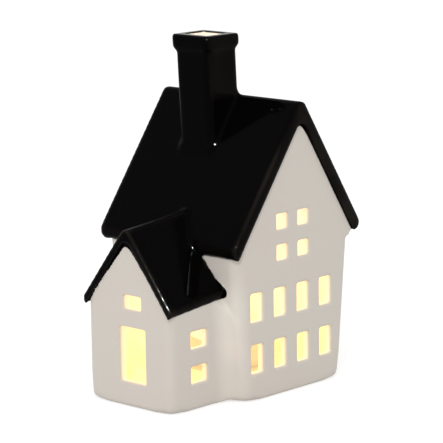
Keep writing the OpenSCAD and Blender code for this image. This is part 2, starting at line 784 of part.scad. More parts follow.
// A bent leaf presses the cells from the other end
module negative_contact() color("goldenrod") at_light() {
    reach = spring_gap - screw_play;
    leaf_h = 2 * contact_drop;
    r = (reach * reach + leaf_h * leaf_h / 4) / 2 / reach;
    contact_plate(-1);
    translate([-bay_l / 2 + contact_t + reach - r, bay_y + contact_w / 4, cell_z]) rotate([90, 0, 0])
        linear_extrude(contact_w / 2) difference() {
            circle(r = r);
            circle(r = r - contact_t);
            translate([-r - reach - contact_t / 2, -r]) square([2 * r, 2 * r]);
        }
}

module battery_cell(place_in_row)
    color("silver") at_light()
        translate([-bay_l / 2 + contact_t + spring_gap + place_in_row * cell_l, bay_y, cell_z])
            rotate([0, 90, 0]) {
                cylinder(r = cell_cap_r, h = cell_l);
                translate([0, 0, cell_step]) cylinder(r = cell_r, h = cell_l - cell_step);
            }

module battery_cell_1() battery_cell(0);

module battery_cell_2() battery_cell(1);

module battery_cell_3() battery_cell(2);

module switch_body() color("#8f9296") at_light() difference() {
    translate([-switch_l / 2 - switch_travel / 2, switch_y - switch_w / 2, plate_z])
        cube([switch_l, switch_w, switch_h]);
    translate([-slider_l / 2 - play - switch_travel, switch_y - slider_w / 2 - play, slider_z - play])
        cube([slider_l + 2 * play + switch_travel, slider_w + 2 * play, slider_h + 2 * play]);
    translate([-knob_l / 2 - play - switch_travel, switch_y - knob_w / 2 - play, plate_z - cut])
        cube([knob_l + 2 * play + switch_travel, knob_w + 2 * play, slider_h + cut]);
}

module switch_pins(first, last) for (i = [first:last])
    translate([(i - 1) * pin_pitch - switch_travel / 2, switch_y, plate_z + switch_h]) children();

module switch_terminals() color("goldenrod") at_light()
    switch_pins(0, 2) translate([-pin_w / 2, -pin_t / 2, 0]) cube([pin_w, pin_t, pin_h]);

module switch_wires() color("firebrick") at_light()
    switch_pins(0, 1) translate([0, 0, pin_h]) cylinder(r = wire_r, h = board_z - plate_z - switch_h - pin_h);

module switch_knob() color("#262626") at_light() {
    translate([-slider_l / 2, switch_y - slider_w / 2, slider_z]) cube([slider_l, slider_w, slider_h]);
    translate([-knob_l / 2, switch_y - knob_w / 2, unit_z + knob_in])
        cube([knob_l, knob_w, slider_z - unit_z]);
}

module battery_cover() color("#e9e6df") at_light() difference() {
    union() {
        translate([0, 0, unit_z]) linear_extrude(cover_t) cover_outline(0);
        for (side = [-1, 1])
            translate([-bay_l / 4, bay_y + side * (bay_w / 2 - play - rib_t / 2) - rib_t / 2, unit_z])
                cube([bay_l / 2, rib_t, cover_t + rib_h]);
    }
    translate([cover_boss_x, bay_y, unit_z - cut]) cylinder(r = screw_r + screw_play, h = cover_t + 2 * cut);
    translate([cover_boss_x, bay_y, unit_z - cut])
        cylinder(r = screw_head_r + screw_head_play, h = screw_head_t + screw_play + cut);
}

module cover_screw() color("silver") at_light() translate([cover_boss_x, bay_y, 0]) difference() {
    union() {
        translate([0, 0, unit_z]) cylinder(r = screw_head_r, h = screw_head_t);
        translate([0, 0, unit_z]) cylinder(r = screw_r, h = cover_boss_h - cut);
    }
    cross_slot(unit_z - cut, unit_z + cross_depth);
}

house_walls();
main_roof();
wing_roof();
chimney();
light_housing();
grip_ring();
light_cap();
circuit_board();
board_screws();
lamp();
lamp_leads();
resistor();
resistor_leads();
positive_contact();
negative_contact();
battery_cell_1();
battery_cell_2();
battery_cell_3();
switch_body();
switch_terminals();
switch_wires();
switch_knob();
battery_cover();
cover_screw();
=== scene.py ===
import math
import bmesh
import bpy
import numpy as np
from mathutils import Matrix, Vector
from mathutils.bvhtree import BVHTree
from mathutils.kdtree import KDTree


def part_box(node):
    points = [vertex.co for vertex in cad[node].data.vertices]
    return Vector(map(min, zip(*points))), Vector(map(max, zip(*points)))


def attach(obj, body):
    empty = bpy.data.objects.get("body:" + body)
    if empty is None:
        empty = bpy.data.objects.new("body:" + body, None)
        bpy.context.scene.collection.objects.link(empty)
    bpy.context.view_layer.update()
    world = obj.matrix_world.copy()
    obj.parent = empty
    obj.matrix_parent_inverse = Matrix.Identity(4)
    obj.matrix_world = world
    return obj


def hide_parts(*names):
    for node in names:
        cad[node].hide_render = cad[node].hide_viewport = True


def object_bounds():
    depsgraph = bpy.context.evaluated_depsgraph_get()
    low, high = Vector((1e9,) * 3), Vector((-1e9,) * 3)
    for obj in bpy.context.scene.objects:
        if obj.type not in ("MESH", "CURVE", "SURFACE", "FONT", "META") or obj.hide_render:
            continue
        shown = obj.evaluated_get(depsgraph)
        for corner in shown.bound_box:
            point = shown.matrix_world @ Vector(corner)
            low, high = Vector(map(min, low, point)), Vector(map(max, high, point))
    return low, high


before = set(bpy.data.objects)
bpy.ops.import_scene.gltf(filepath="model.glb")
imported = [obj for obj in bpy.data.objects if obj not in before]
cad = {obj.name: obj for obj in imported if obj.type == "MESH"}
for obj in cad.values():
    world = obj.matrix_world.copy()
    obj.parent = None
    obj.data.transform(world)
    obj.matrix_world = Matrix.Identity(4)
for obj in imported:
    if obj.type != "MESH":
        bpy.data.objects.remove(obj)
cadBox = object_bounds()
mm = 0.001
print("frame loaded:", len(cad), "nodes")

# The house's own sizes in millimetres: the front foot of the main block is y = 0
house = {
    "shiftY": -20.1, "halfLength": 42.3, "depth": 67.2, "wall": 4.2,
    "frontLean": 5.5 / 67.5, "backLean": 6.5 / 67.5, "floorUnder": 4.5,
    "ridgeY": 38.8, "ridgeZ": 138.2, "frontPitch": 54.1, "backPitch": 57.4, "roofThick": 5.4,
    "frontRun": 41.7, "noseRadius": 4.8, "topZ": 165.5,
    "wingX": 4.4, "wingHalf": 27.1, "wingFront": -38.1, "wingRidgeZ": 84.2, "wingPitch": 52.0,
    "wingTilt": 6.0, "wingRoofThick": 3.0,
    "chimneyX": -6.6, "chimneyY": 27.4, "leanX": 1.0, "leanY": 2.0, "flueX": 7.25, "flueY": 6.45,
}


def rowPlace(x, y, z):
    # millimetres in the house's own frame to metres in the row frame
    return Vector((x, y + house["shiftY"], z)) * mm


lampPlace = rowPlace(0, 33.6, 27)


def ownPlaces(points):
    # metres in the row frame to millimetres in the house's own frame
    own = np.array(points, float) / mm
    own[:, 1] -= house["shiftY"]
    return own


# Camera
photoView = {"place": (766.3, -781.6, 292.7), "aim": (39.12, -11.64, 87.07), "roll": -0.79,
             "lens": 194.5, "sensor": 36.0}


def makeCamera():
    data = bpy.data.cameras.new("photoCamera")
    data.lens = photoView["lens"]
    data.sensor_width = photoView["sensor"]
    data.clip_start = 0.05
    data.clip_end = 50
    camera = bpy.data.objects.new("photoCamera", data)
    bpy.context.scene.collection.objects.link(camera)
    place = rowPlace(*photoView["place"])
    back = (place - rowPlace(*photoView["aim"])).normalized()
    right = Vector((0, 0, 1)).cross(back).normalized()
    up = back.cross(right)
    roll = math.radians(photoView["roll"])
    across = right * math.cos(roll) + up * math.sin(roll)
    upward = up * math.cos(roll) - right * math.sin(roll)
    turn = Matrix((across, upward, back)).transposed()
    camera.matrix_world = Matrix.Translation(place) @ turn.to_4x4()
    bpy.context.scene.camera = camera


makeCamera()


# Node helpers
def newNode(tree, kind, **settings):
    node = tree.nodes.new(kind)
    for name, value in settings.items():
        setattr(node, name, value)
    return node


def plug(tree, source, target):
    tree.links.new(source, target)


def mathNode(tree, operation, first, second):
    node = newNode(tree, "ShaderNodeMath", operation=operation)
    for socket, value in ((node.inputs[0], first), (node.inputs[1], second)):
        if isinstance(value, (int, float)):
            socket.default_value = value
        else:
            plug(tree, value, socket)
    return node.outputs[0]


def mixColour(tree, factor, first, second, blend="MIX"):
    node = newNode(tree, "ShaderNodeMix", data_type="RGBA", blend_type=blend)
    for socket, value in ((node.inputs[0], factor), (node.inputs[6], first), (node.inputs[7], second)):
        if isinstance(value, (int, float)):
            socket.default_value = value
        elif isinstance(value, tuple):
            socket.default_value = value + (1,)
        else:
            plug(tree, value, socket)
    return node.outputs[2]


def spread(tree, value, low, high, outLow, outHigh):
    node = newNode(tree, "ShaderNodeMapRange", clamp=True)
    plug(tree, value, node.inputs["Value"])
    for name, number in (("From Min", low), ("From Max", high), ("To Min", outLow), ("To Max", outHigh)):
        node.inputs[name].default_value = number
    return node.outputs["Result"]


def noise(tree, vector, scale, detail=2.0, rough=0.5, distort=0.0):
    node = newNode(tree, "ShaderNodeTexNoise")
    plug(tree, vector, node.inputs["Vector"])
    if isinstance(scale, (int, float)):
        node.inputs["Scale"].default_value = scale
    else:
        plug(tree, scale, node.inputs["Scale"])
    node.inputs["Detail"].default_value = detail
    node.inputs["Roughness"].default_value = rough
    node.inputs["Distortion"].default_value = distort
    return node.outputs["Fac"]


def newGroup(name, takes, gives):
    tree = bpy.data.node_groups.new(name, "ShaderNodeTree")
    for socketName, kind, value in takes:
        socket = tree.interface.new_socket(socketName, in_out="INPUT", socket_type=kind)
        if value is not None:
            socket.default_value = value
    for socketName, kind in gives:
        tree.interface.new_socket(socketName, in_out="OUTPUT", socket_type=kind)
    return tree, tree.nodes.new("NodeGroupInput"), tree.nodes.new("NodeGroupOutput")


def useGroup(tree, group, vector, **values):
    node = newNode(tree, "ShaderNodeGroup", node_tree=group)
    plug(tree, vector, node.inputs["Place"])
    for name, value in values.items():
        if isinstance(value, (int, float, tuple)):
            node.inputs[name].default_value = value
        else:
            plug(tree, value, node.inputs[name])
    return node


def heightOf(tree, place):
    # the height over the table, in metres
    parts = newNode(tree, "ShaderNodeSeparateXYZ")
    plug(tree, place, parts.inputs[0])
    return parts.outputs["Z"]


floatSocket = "NodeSocketFloat"
vectorSocket = "NodeSocketVector"
colourSocket = "NodeSocketColor"


# Shared effects
def glazeSkinGroup():
    # slow waves of the melt and iron specks
    tree, takes, gives = newGroup(
        "glazeSkin",
        [("Place", vectorSocket, None), ("Waves", floatSocket, 60.0), ("Ripples", floatSocket, 260.0),
         ("Specks", floatSocket, 900.0)],
        [("Height", floatSocket), ("Tone", floatSocket), ("Speck", floatSocket)])
    place = takes.outputs["Place"]
    waves = noise(tree, place, takes.outputs["Waves"], 1.5, 0.45, 0.6)
    ripples = noise(tree, place, takes.outputs["Ripples"], 2.0, 0.5, 0.3)
    height = mathNode(tree, "ADD", waves, mathNode(tree, "MULTIPLY", ripples, 0.16))
    plug(tree, height, gives.inputs["Height"])
    plug(tree, spread(tree, noise(tree, place, 34.0, 3.0, 0.6), 0.35, 0.65, 0.0, 1.0), gives.inputs["Tone"])
    cells = newNode(tree, "ShaderNodeTexVoronoi")
    plug(tree, place, cells.inputs["Vector"])
    plug(tree, takes.outputs["Specks"], cells.inputs["Scale"])
    dots = spread(tree, cells.outputs["Distance"], 0.05, 0.16, 1.0, 0.0)
    rare = spread(tree, noise(tree, place, 420.0, 1.0), 0.60, 0.68, 0.0, 1.0)
    plug(tree, mathNode(tree, "MULTIPLY", dots, rare), gives.inputs["Speck"])
    return tree


def lampLightGroup():
    # how the lamp's light lies on the bare inside: yellower low down, paler higher up
    tree, takes, gives = newGroup(
        "lampLight",
        [("Place", vectorSocket, None), ("Inside", floatSocket, 0.0), ("Low", colourSocket, (1, 0.8, 0.3, 1)),
         ("High", colourSocket, (1, 0.9, 0.6, 1)), ("Reveal", colourSocket, (1, 0.8, 0.7, 1))],
        [("Glow", colourSocket)])
    place = takes.outputs["Place"]
    high = spread(tree, heightOf(tree, place), 0.012, 0.075, 0.0, 1.0)
    room = mixColour(tree, high, takes.outputs["Low"], takes.outputs["High"])
    cloud = spread(tree, noise(tree, place, 75.0, 2.0, 0.55), 0.32, 0.7, 0.86, 1.06)
    room = mixColour(tree, 1.0, room, cloud, "MULTIPLY")
    deep = spread(tree, takes.outputs["Inside"], 2.6, 4.3, 0.0, 1.0)
    both = mixColour(tree, deep, takes.outputs["Reveal"], room)
    shown = spread(tree, takes.outputs["Inside"], 0.5, 1.9, 0.0, 1.0)
    plug(tree, mixColour(tree, shown, (0.0, 0.0, 0.0), both), gives.inputs["Glow"])
    return tree


def mouldGroup():
    # fine spark-eroded grain and slow sink marks of moulded plastic
    tree, takes, gives = newGroup(
        "mouldGrain", [("Place", vectorSocket, None), ("Grain", floatSocket, 5200.0)],
        [("Height", floatSocket), ("Tone", floatSocket)])
    place = takes.outputs["Place"]
    grain = noise(tree, place, takes.outputs["Grain"], 3.0, 0.65)
    plug(tree, grain, gives.inputs["Height"])
    plug(tree, spread(tree, noise(tree, place, 240.0, 2.0), 0.3, 0.7, 0.0, 1.0), gives.inputs["Tone"])
    return tree


def drawnMetalGroup():
    # long fine scratches along one way and a few duller patches
    tree, takes, gives = newGroup(
        "drawnMetal", [("Place", vectorSocket, None), ("Stretch", vectorSocket, (1.0, 1.0, 14.0))],
        [("Height", floatSocket), ("Tone", floatSocket)])
    scaled = newNode(tree, "ShaderNodeVectorMath", operation="MULTIPLY")
    plug(tree, takes.outputs["Place"], scaled.inputs[0])
    plug(tree, takes.outputs["Stretch"], scaled.inputs[1])
    plug(tree, noise(tree, scaled.outputs[0], 1500.0, 3.0, 0.6), gives.inputs["Height"])
    plug(tree, spread(tree, noise(tree, takes.outputs["Place"], 520.0, 3.0), 0.35, 0.7, 0.0, 1.0),
         gives.inputs["Tone"])
    return tree


glazeSkin = glazeSkinGroup()
lampLight = lampLightGroup()
mouldGrain = mouldGroup()
drawnMetal = drawnMetalGroup()


def newMaterial(name):
    material = bpy.data.materials.new(name)
    material.use_nodes = True
    tree = material.node_tree
    shader = tree.nodes["Principled BSDF"]
    place = newNode(tree, "ShaderNodeTexCoord").outputs["Object"]
    return material, tree, shader, place


def attribute(tree, name):
    return newNode(tree, "ShaderNodeAttribute", attribute_name=name).outputs["Fac"]


def bump(tree, shader, height, distance, strength=1.0):
    node = newNode(tree, "ShaderNodeBump")
    node.inputs["Distance"].default_value = distance
    node.inputs["Strength"].default_value = strength
    plug(tree, height, node.inputs["Height"])
    plug(tree, node.outputs["Normal"], shader.inputs["Normal"])


# Ceramic
# corner and spot are the colours of a painted warm glow at the wing's inner corner
whiteLook = {"cool": (0.657, 0.629, 0.580), "warm": (0.670, 0.620, 0.575), "pooled": (0.58, 0.55, 0.49),
             "bisque": (0.70, 0.64, 0.54), "low": (1.0, 0.76, 0.27), "high": (1.0, 0.66, 0.64),
             "reveal": (0.93, 0.68, 0.34), "glow": 0.54, "corner": (0.205, 0.200, 0.175),
             "spot": (0.05, 0.02, 0.0), "specular": 0.15, "speck": (0.34, 0.29, 0.22), "speckShare": 0.22,
             "pooledShare": 0.5, "smooth": 0.09, "dull": 0.16, "bareRough": 0.7, "bump": 0.0004,
             "wander": 0.42, "lineSoft": 0.12}
blackLook = {"deep": (0.0016, 0.0013, 0.0014), "lighter": (0.018, 0.0155, 0.0135), "bisque": (0.72, 0.66, 0.56),
             "low": (1.0, 0.80, 0.30), "high": (1.0, 0.82, 0.62), "reveal": (0.9, 0.70, 0.50), "glow": 0.47,
             "specular": 0.014, "smooth": 0.035, "dull": 0.07, "bareRough": 0.75, "bump": 0.0002,
             "roomDepth": 5.0}
nothing = (0.0, 0.0, 0.0)


def lampGlow(tree, place, inside, look):
    colours = {"Low": look["low"] + (1,), "High": look["high"] + (1,), "Reveal": look["reveal"] + (1,)}
    return useGroup(tree, lampLight, place, Inside=inside, **colours).outputs["Glow"]


def glazeRough(tree, shader, tone, bare, look):
    rough = spread(tree, tone, 0.0, 1.0, look["smooth"], look["dull"])
    bareRough = mathNode(tree, "MULTIPLY", bare, look["bareRough"])
    plug(tree, mathNode(tree, "MAXIMUM", rough, bareRough), shader.inputs["Roughness"])


def blackShare(tree, place):
    # the black glaze ends in a hand-drawn line: the attribute is the distance to it in millimetres
    unsteady = mathNode(tree, "SUBTRACT", noise(tree, place, 150.0, 2.0, 0.6), 0.5)
    wander = mathNode(tree, "MULTIPLY", unsteady, whiteLook["wander"])
    line = mathNode(tree, "ADD", attribute(tree, "line"), wander)
    return spread(tree, line, -whiteLook["lineSoft"], whiteLook["lineSoft"], 1.0, 0.0)


def whiteGlazeMaterial():
    material, tree, shader, place = newMaterial("whiteGlaze")
    skin = useGroup(tree, glazeSkin, place, Waves=70.0, Ripples=330.0, Specks=700.0)
    tone = skin.outputs["Tone"]
    inside = attribute(tree, "inside")
    colour = mixColour(tree, tone, whiteLook["cool"], whiteLook["warm"])
    hollow = spread(tree, attribute(tree, "edge"), -0.14, -0.5, 0.0, whiteLook["pooledShare"])
    colour = mixColour(tree, hollow, colour, whiteLook["pooled"])
    specks = spread(tree, skin.outputs["Speck"], 0.0, 1.0, 0.0, whiteLook["speckShare"])
    colour = mixColour(tree, specks, colour, whiteLook["speck"])
    footBare = spread(tree, heightOf(tree, place), 0.0002, 0.0009, 1.0, 0.0)
    roomBare = spread(tree, inside, 3.4, 4.2, 0.0, 1.0)
    bare = mathNode(tree, "MAXIMUM", footBare, roomBare)
    colour = mixColour(tree, bare, colour, whiteLook["bisque"])
    black = blackShare(tree, place)
    plug(tree, mixColour(tree, black, colour, blackLook["deep"]), shader.inputs["Base Color"])
    glazeRough(tree, shader, tone, bare, whiteLook)
    gloss = shader.inputs["Specular IOR Level"]
    gloss.default_value = whiteLook["specular"]  # for tools that leave out the link
    plug(tree, spread(tree, black, 0.0, 1.0, whiteLook["specular"], blackLook["specular"]), gloss)
    glow = lampGlow(tree, place, inside, whiteLook)
    # painted light: the warm glow at the inner corner and its brighter spot, added to the emission
    corner = mixColour(tree, attribute(tree, "corner"), nothing, whiteLook["corner"])
    spot = mixColour(tree, attribute(tree, "spot"), nothing, whiteLook["spot"])
    paintedCornerLight = mixColour(tree, 1.0, corner, spot, "ADD")
    total = mixColour(tree, 1.0, glow, paintedCornerLight, "ADD")
    plug(tree, mixColour(tree, black, total, nothing), shader.inputs["Emission Color"])
    shader.inputs["Emission Strength"].default_value = whiteLook["glow"]
    bump(tree, shader, skin.outputs["Height"], whiteLook["bump"], 0.4)
    return material


def blackGlazeMaterial():
    material, tree, shader, place = newMaterial("blackGlaze")
    skin = useGroup(tree, glazeSkin, place, Waves=60.0, Ripples=220.0, Specks=500.0)
    tone = skin.outputs["Tone"]
    # lighter black: thin glaze on outer edges plus a painted reflection on the right-facing verges and
    # chimney side
    edge = spread(tree, attribute(tree, "edge"), 0.04, 0.34, 0.0, 1.0)
    lighter = mathNode(tree, "MULTIPLY", edge, spread(tree, tone, 0.0, 1.0, 0.35, 1.0))
    colour = mixColour(tree, lighter, blackLook["deep"], blackLook["lighter"])
    bare = spread(tree, attribute(tree, "lining"), 0.35, 0.65, 0.0, 1.0)
    plug(tree, mixColour(tree, bare, colour, blackLook["bisque"]), shader.inputs["Base Color"])
    glazeRough(tree, shader, tone, bare, blackLook)
    shader.inputs["Specular IOR Level"].default_value = blackLook["specular"]
    depth = mathNode(tree, "MULTIPLY", bare, blackLook["roomDepth"])
    plug(tree, lampGlow(tree, place, depth, blackLook), shader.inputs["Emission Color"])
    shader.inputs["Emission Strength"].default_value = blackLook["glow"]
    bump(tree, shader, skin.outputs["Height"], blackLook["bump"], 0.5)
    return material


whiteGlaze = whiteGlazeMaterial()
blackGlaze = blackGlazeMaterial()
print("ceramic materials ready")


# Mesh helpers
def linked(name, mesh):
    piece = bpy.data.objects.new(name, mesh)
    bpy.context.scene.collection.objects.link(piece)
    return piece


def mergedCopy(name, *nodeNames):
    # the CAD meshes are loose triangles, so a copy of them is merged first
    work = bmesh.new()
    for nodeName in nodeNames:
        work.from_mesh(cad[nodeName].data)
    bmesh.ops.remove_doubles(work, verts=work.verts, dist=0.00001)
    mesh = bpy.data.meshes.new(name)
    work.to_mesh(mesh)
    work.free()
    return linked(name, mesh)


def applied(piece):
    # makes the modifiers' result the piece's own mesh
    shown = piece.evaluated_get(bpy.context.evaluated_depsgraph_get())
    mesh = bpy.data.meshes.new_from_object(shown)
    piece.modifiers.clear()
    piece.data = mesh
    return piece


def remeshed(piece, voxel):
    modifier = piece.modifiers.new("skin", "REMESH")
    modifier.mode = "VOXEL"
    modifier.voxel_size = voxel * mm
    return applied(piece)


def clipped(piece, cutter, operation, name):
    copy = linked(name, piece.data.copy())
    modifier = copy.modifiers.new("cut", "BOOLEAN")
    modifier.operation = operation
    modifier.solver = "MANIFOLD"
    modifier.object = cutter
    applied(copy)
    return copy


def readPoints(mesh):
    points = np.empty(len(mesh.vertices) * 3)
    mesh.vertices.foreach_get("co", points)
    return points.reshape(-1, 3)


def readEdges(mesh):
    edges = np.empty(len(mesh.edges) * 2, np.int64)
    mesh.edges.foreach_get("vertices", edges)
    return edges.reshape(-1, 2)


def readNormals(mesh):
    normals = np.empty(len(mesh.vertices) * 3)
    mesh.vertices.foreach_get("normal", normals)
    return normals.reshape(-1, 3)


def writePoints(mesh, points):
    mesh.vertices.foreach_set("co", points.ravel())
    mesh.update()


def neighbourMean(values, edges):
    # the mean of each point's neighbours, for a number or a vector at each point
    first, second = edges.T
    count = np.bincount(edges.ravel(), minlength=len(values))
    columns = values.reshape(len(values), -1)
    mean = np.empty_like(columns)
    for axis in range(columns.shape[1]):
        mean[:, axis] = (np.bincount(first, columns[second, axis], len(values))
                         + np.bincount(second, columns[first, axis], len(values)))
    return (mean / np.maximum(count, 1)[:, None]).reshape(values.shape)


def smoothed(values, edges, rounds):
    for _ in range(rounds):
        values = 0.5 * values + 0.5 * neighbourMean(values, edges)
    return values


def relax(points, edges, freedom, rounds):
    # the melt rounds every edge; freedom is 0 where a point stays
    for _ in range(rounds):
        points = points + 0.5 * freedom[:, None] * (neighbourMean(points, edges) - points)
    return points


def withinBox(points):
    return np.clip(points, np.array(cadBox[0]), np.array(cadBox[1]))


def edgeMask(points, edges, normals):
    # positive on outer edges, negative in hollows, in parts of a millimetre
    bend = ((points - neighbourMean(points, edges)) * normals).sum(1) / mm
    return smoothed(bend, edges, 3) * 4


def saveAttribute(mesh, name, values):
    layer = mesh.attributes.new(name, "FLOAT", "POINT")
    layer.data.foreach_set("value", np.asarray(values, np.float32))


def nearest(points, tree, reach):
    # gaps are negative inside the other body
    gaps = np.full(len(points), reach)
    sides = np.zeros((len(points), 3))
    for index, point in enumerate(points):
        found = tree.find_nearest(Vector(point), reach)
        if found[0] is not None:
            within = (Vector(point) - found[0]).dot(found[1]) < 0
            gaps[index] = -found[3] if within else found[3]
            sides[index] = found[1]
    return gaps, sides


def coverDepth(points, normals, chosen, tree, reach):
    # how thick the other body lies over each chosen point
    depths = np.zeros(len(points))
    for index in np.flatnonzero(chosen):
        way = Vector(normals[index])
        found = tree.ray_cast(Vector(points[index]) + way * 0.05 * mm, way, reach)
        if found[0] is not None and found[1].dot(way) > 0:
            depths[index] = found[3]
    return depths


def prism(name, outline, low, high):
    # outline in the house's own y and z, run along x, in millimetres
    work = bmesh.new()
    rings = []
    for x in (low, high):
        rings.append([work.verts.new((x * mm, (y + house["shiftY"]) * mm, z * mm)) for y, z in outline])
    work.faces.new(rings[0])
    work.faces.new(rings[1][::-1])
    count = len(outline)
    for i in range(count):
        j = (i + 1) % count
        work.faces.new((rings[0][i], rings[1][i], rings[1][j], rings[0][j]))
    bmesh.ops.recalc_face_normals(work, faces=work.faces)
    mesh = bpy.data.meshes.new(name)
    work.to_mesh(mesh)
    work.free()
    return linked(name, mesh)


def smoothStep(value, low, high):
    share = np.clip((value - low) / (high - low), 0, 1)
    return share * share * (3 - 2 * share)


# White walls: lengths in millimetres
wallForm = {"voxel": 0.6, "kept": 0.40, "contact": 0.6, "free": 2.4, "push": 0.9, "reach": 3.0, "cover": 12.0,
            "rounds": 4, "crisp": 0.9, "cornerRounds": 14,
            "footRounds": 64, "footHeight": 15.0, "footReach": 12.0, "footRing": 5.5}
skinDepth = {"outer": 3.0, "painted": 2.5}


def wingDrop(x, y, z):
    # how far a point lies under the wing's sloping top, straight down
    rise = (y - house["wingFront"]) * math.tan(math.radians(house["wingTilt"]))
    side = np.abs(x - house["wingX"]) * math.tan(math.radians(house["wingPitch"]))
    return house["wingRidgeZ"] + rise - z - side


def insideDepth(own):
    # how deep a point lies behind the outer skin of either block
    x, y, z = own.T
    frontTurn = math.cos(math.atan(house["frontLean"]))
    backTurn = math.cos(math.atan(house["backLean"]))
    main = np.minimum.reduce([x + house["halfLength"], house["halfLength"] - x,
                              (y + house["frontLean"] * z) * frontTurn,
                              (house["depth"] + house["backLean"] * z - y) * backTurn])
    wing = np.minimum.reduce([x - house["wingX"] + house["wingHalf"], house["wingX"] + house["wingHalf"] - x,
                              y - house["wingFront"], 3 * house["wall"] - y])
    wing = np.minimum(wing, wingDrop(x, y, z) * math.cos(math.radians(house["wingPitch"])))
    depth = np.maximum(np.maximum(main, wing), 0)
    return np.where(z < house["floorUnder"], 0.0, depth)


litRim = {"step": 0.5, "facing": (0.1, 0.62), "depth": (3.2, 3.8), "floor": (5.5, 6.4)}


def litDepth(points, normals):
    # the depth again, but none on the rounded outer edges, where the skin still faces outwards
    own = ownPlaces(points)
    depth = insideDepth(own)
    slope = np.empty_like(own)
    for axis in range(3):
        shift = np.zeros(3)
        shift[axis] = litRim["step"]
        slope[:, axis] = insideDepth(own - shift) - insideDepth(own + shift)
    length = np.maximum(np.linalg.norm(slope, axis=1), 0.001)
    facing = (slope * normals).sum(1) / length
    turned = 1 - smoothStep(facing, *litRim["facing"])
    turned = np.maximum(turned, smoothStep(depth, *litRim["depth"]))
    return depth * turned * smoothStep(own[:, 2], *litRim["floor"])


def softened(points, edges, gaps):
    # rounds the walls: least at the roofs and the window rims, most at the foot's corners
    freedom = smoothStep(gaps, wallForm["contact"] * mm, wallForm["free"] * mm)
    freedom *= 0.4 + 0.6 * smoothStep(points[:, 2], 2 * mm, 5 * mm)
    own = ownPlaces(points)
    x, y, z = own.T
    corners = [(side * house["halfLength"], end) for side in (-1, 1) for end in (0, house["depth"])]
    corners += [(house["wingX"] + side * house["wingHalf"], house["wingFront"]) for side in (-1, 1)]
    away = np.min([np.hypot(x - cornerX, y - cornerY) for cornerX, cornerY in corners], axis=0)
    # the openings are cut with a knife, so their rims stay crisper than the body
    body = np.minimum(away, np.hypot(x - house["wingX"] - house["wingHalf"], y))
    crisp = smoothStep(body, 5.0, 8.0) * smoothStep(z, 6.0, 9.0)
    points = relax(points, edges, freedom * (1 - wallForm["crisp"] * crisp), wallForm["rounds"])
    # the main block's front corners are rounder than the solid's
    leaned = np.hypot(np.abs(x) - house["halfLength"], y + house["frontLean"] * z)
    upright = (1 - smoothStep(leaned, 1.5, 4.5)) * smoothStep(z, 4.0, 8.0)
    points = relax(points, edges, freedom * upright, wallForm["cornerRounds"])
    low = 1 - smoothStep(z, 2.0, wallForm["footHeight"])
    near = 1 - smoothStep(away, 5.0, wallForm["footReach"])
    room = (insideDepth(own) > skinDepth["outer"]) & (z > wallForm["footRing"])
    return relax(points, edges, low * near * ~room, wallForm["footRounds"])


# Painted light: a warm glow put on the outer skin at the inner corner between the wing and the main front,
# standing for the lamp's light shining through there
paintedCornerGlow = {"right": 5.0, "ahead": 2.2, "lean": 0.4, "reach": 10.0, "lowShare": 0.55,
              "bright": (10.0, 30.0), "fade": (44.0, 62.0), "spotZ": 26.0, "spotReach": 9.0}


def savePaintedCornerGlow(mesh, own):
    # painted glow masks: a broad warm patch at the corner and a brighter spot at mid height
    x, y, z = own.T
    outer = insideDepth(own) < skinDepth["outer"]
    cornerX = house["wingX"] + house["wingHalf"]
    cornerGap = np.hypot(x - cornerX - paintedCornerGlow["right"],
                         y + paintedCornerGlow["lean"] * house["frontLean"] * z + paintedCornerGlow["ahead"])
    share = 1 - smoothStep(cornerGap, 1.0, paintedCornerGlow["reach"])
    share *= paintedCornerGlow["lowShare"] + (1 - paintedCornerGlow["lowShare"]) * smoothStep(z, *paintedCornerGlow["bright"])
    saveAttribute(mesh, "corner", share * (1 - smoothStep(z, *paintedCornerGlow["fade"])) * outer)
    spotGap = np.hypot(cornerGap, z - paintedCornerGlow["spotZ"])
    saveAttribute(mesh, "spot", (1 - smoothStep(spotGap, 0.0, paintedCornerGlow["spotReach"])) * outer)


# Where the black glaze ends on the walls: overlaps past the roofs' own edge, and where they fade in
glazeLine = {"overlap": 0.15, "gable": 1.4, "gableZ": (50.0, 76.0), "peak": 0.9, "peakZ": (119.0, 124.0),
             "run": 1.6, "runSide": (-4.0, 1.0), "runY": (-8.5, -6.0), "runZ": (52.0, 60.0),
             "eaveZ": 48.7, "eaveY": -8.0, "least": -3.0, "most": 5.0, "rounds": 5}


def lineDistance(points, edges, probe):
    own = ownPlaces(points)
    x, y, z = own.T
    gap = nearest(points, probe, glazeLine["most"] * mm)[0] / mm - glazeLine["overlap"]
    gable = (y < house["wingFront"] + 2) * smoothStep(z, *glazeLine["gableZ"])
    gap -= glazeLine["gable"] * gable
    # the glaze runs down a little where the wing's eaves meet the main front, but not below the eave
    beside = np.abs(x - house["wingX"]) - house["wingHalf"]
    run = smoothStep(beside, *glazeLine["runSide"]) * smoothStep(y, *glazeLine["runY"])
    gap -= glazeLine["run"] * run * (1 - smoothStep(z, *glazeLine["runZ"]))
    eaveLow = glazeLine["eaveZ"] + math.tan(math.radians(house["wingTilt"])) * (y - glazeLine["eaveY"])
    gap = np.where(run > 0, np.maximum(gap, eaveLow - z), gap)
    gap -= glazeLine["peak"] * smoothStep(z, *glazeLine["peakZ"])
    gap = smoothed(np.clip(gap, glazeLine["least"], glazeLine["most"]), edges, glazeLine["rounds"])
    return np.where(insideDepth(own) < skinDepth["painted"], gap, glazeLine["most"])


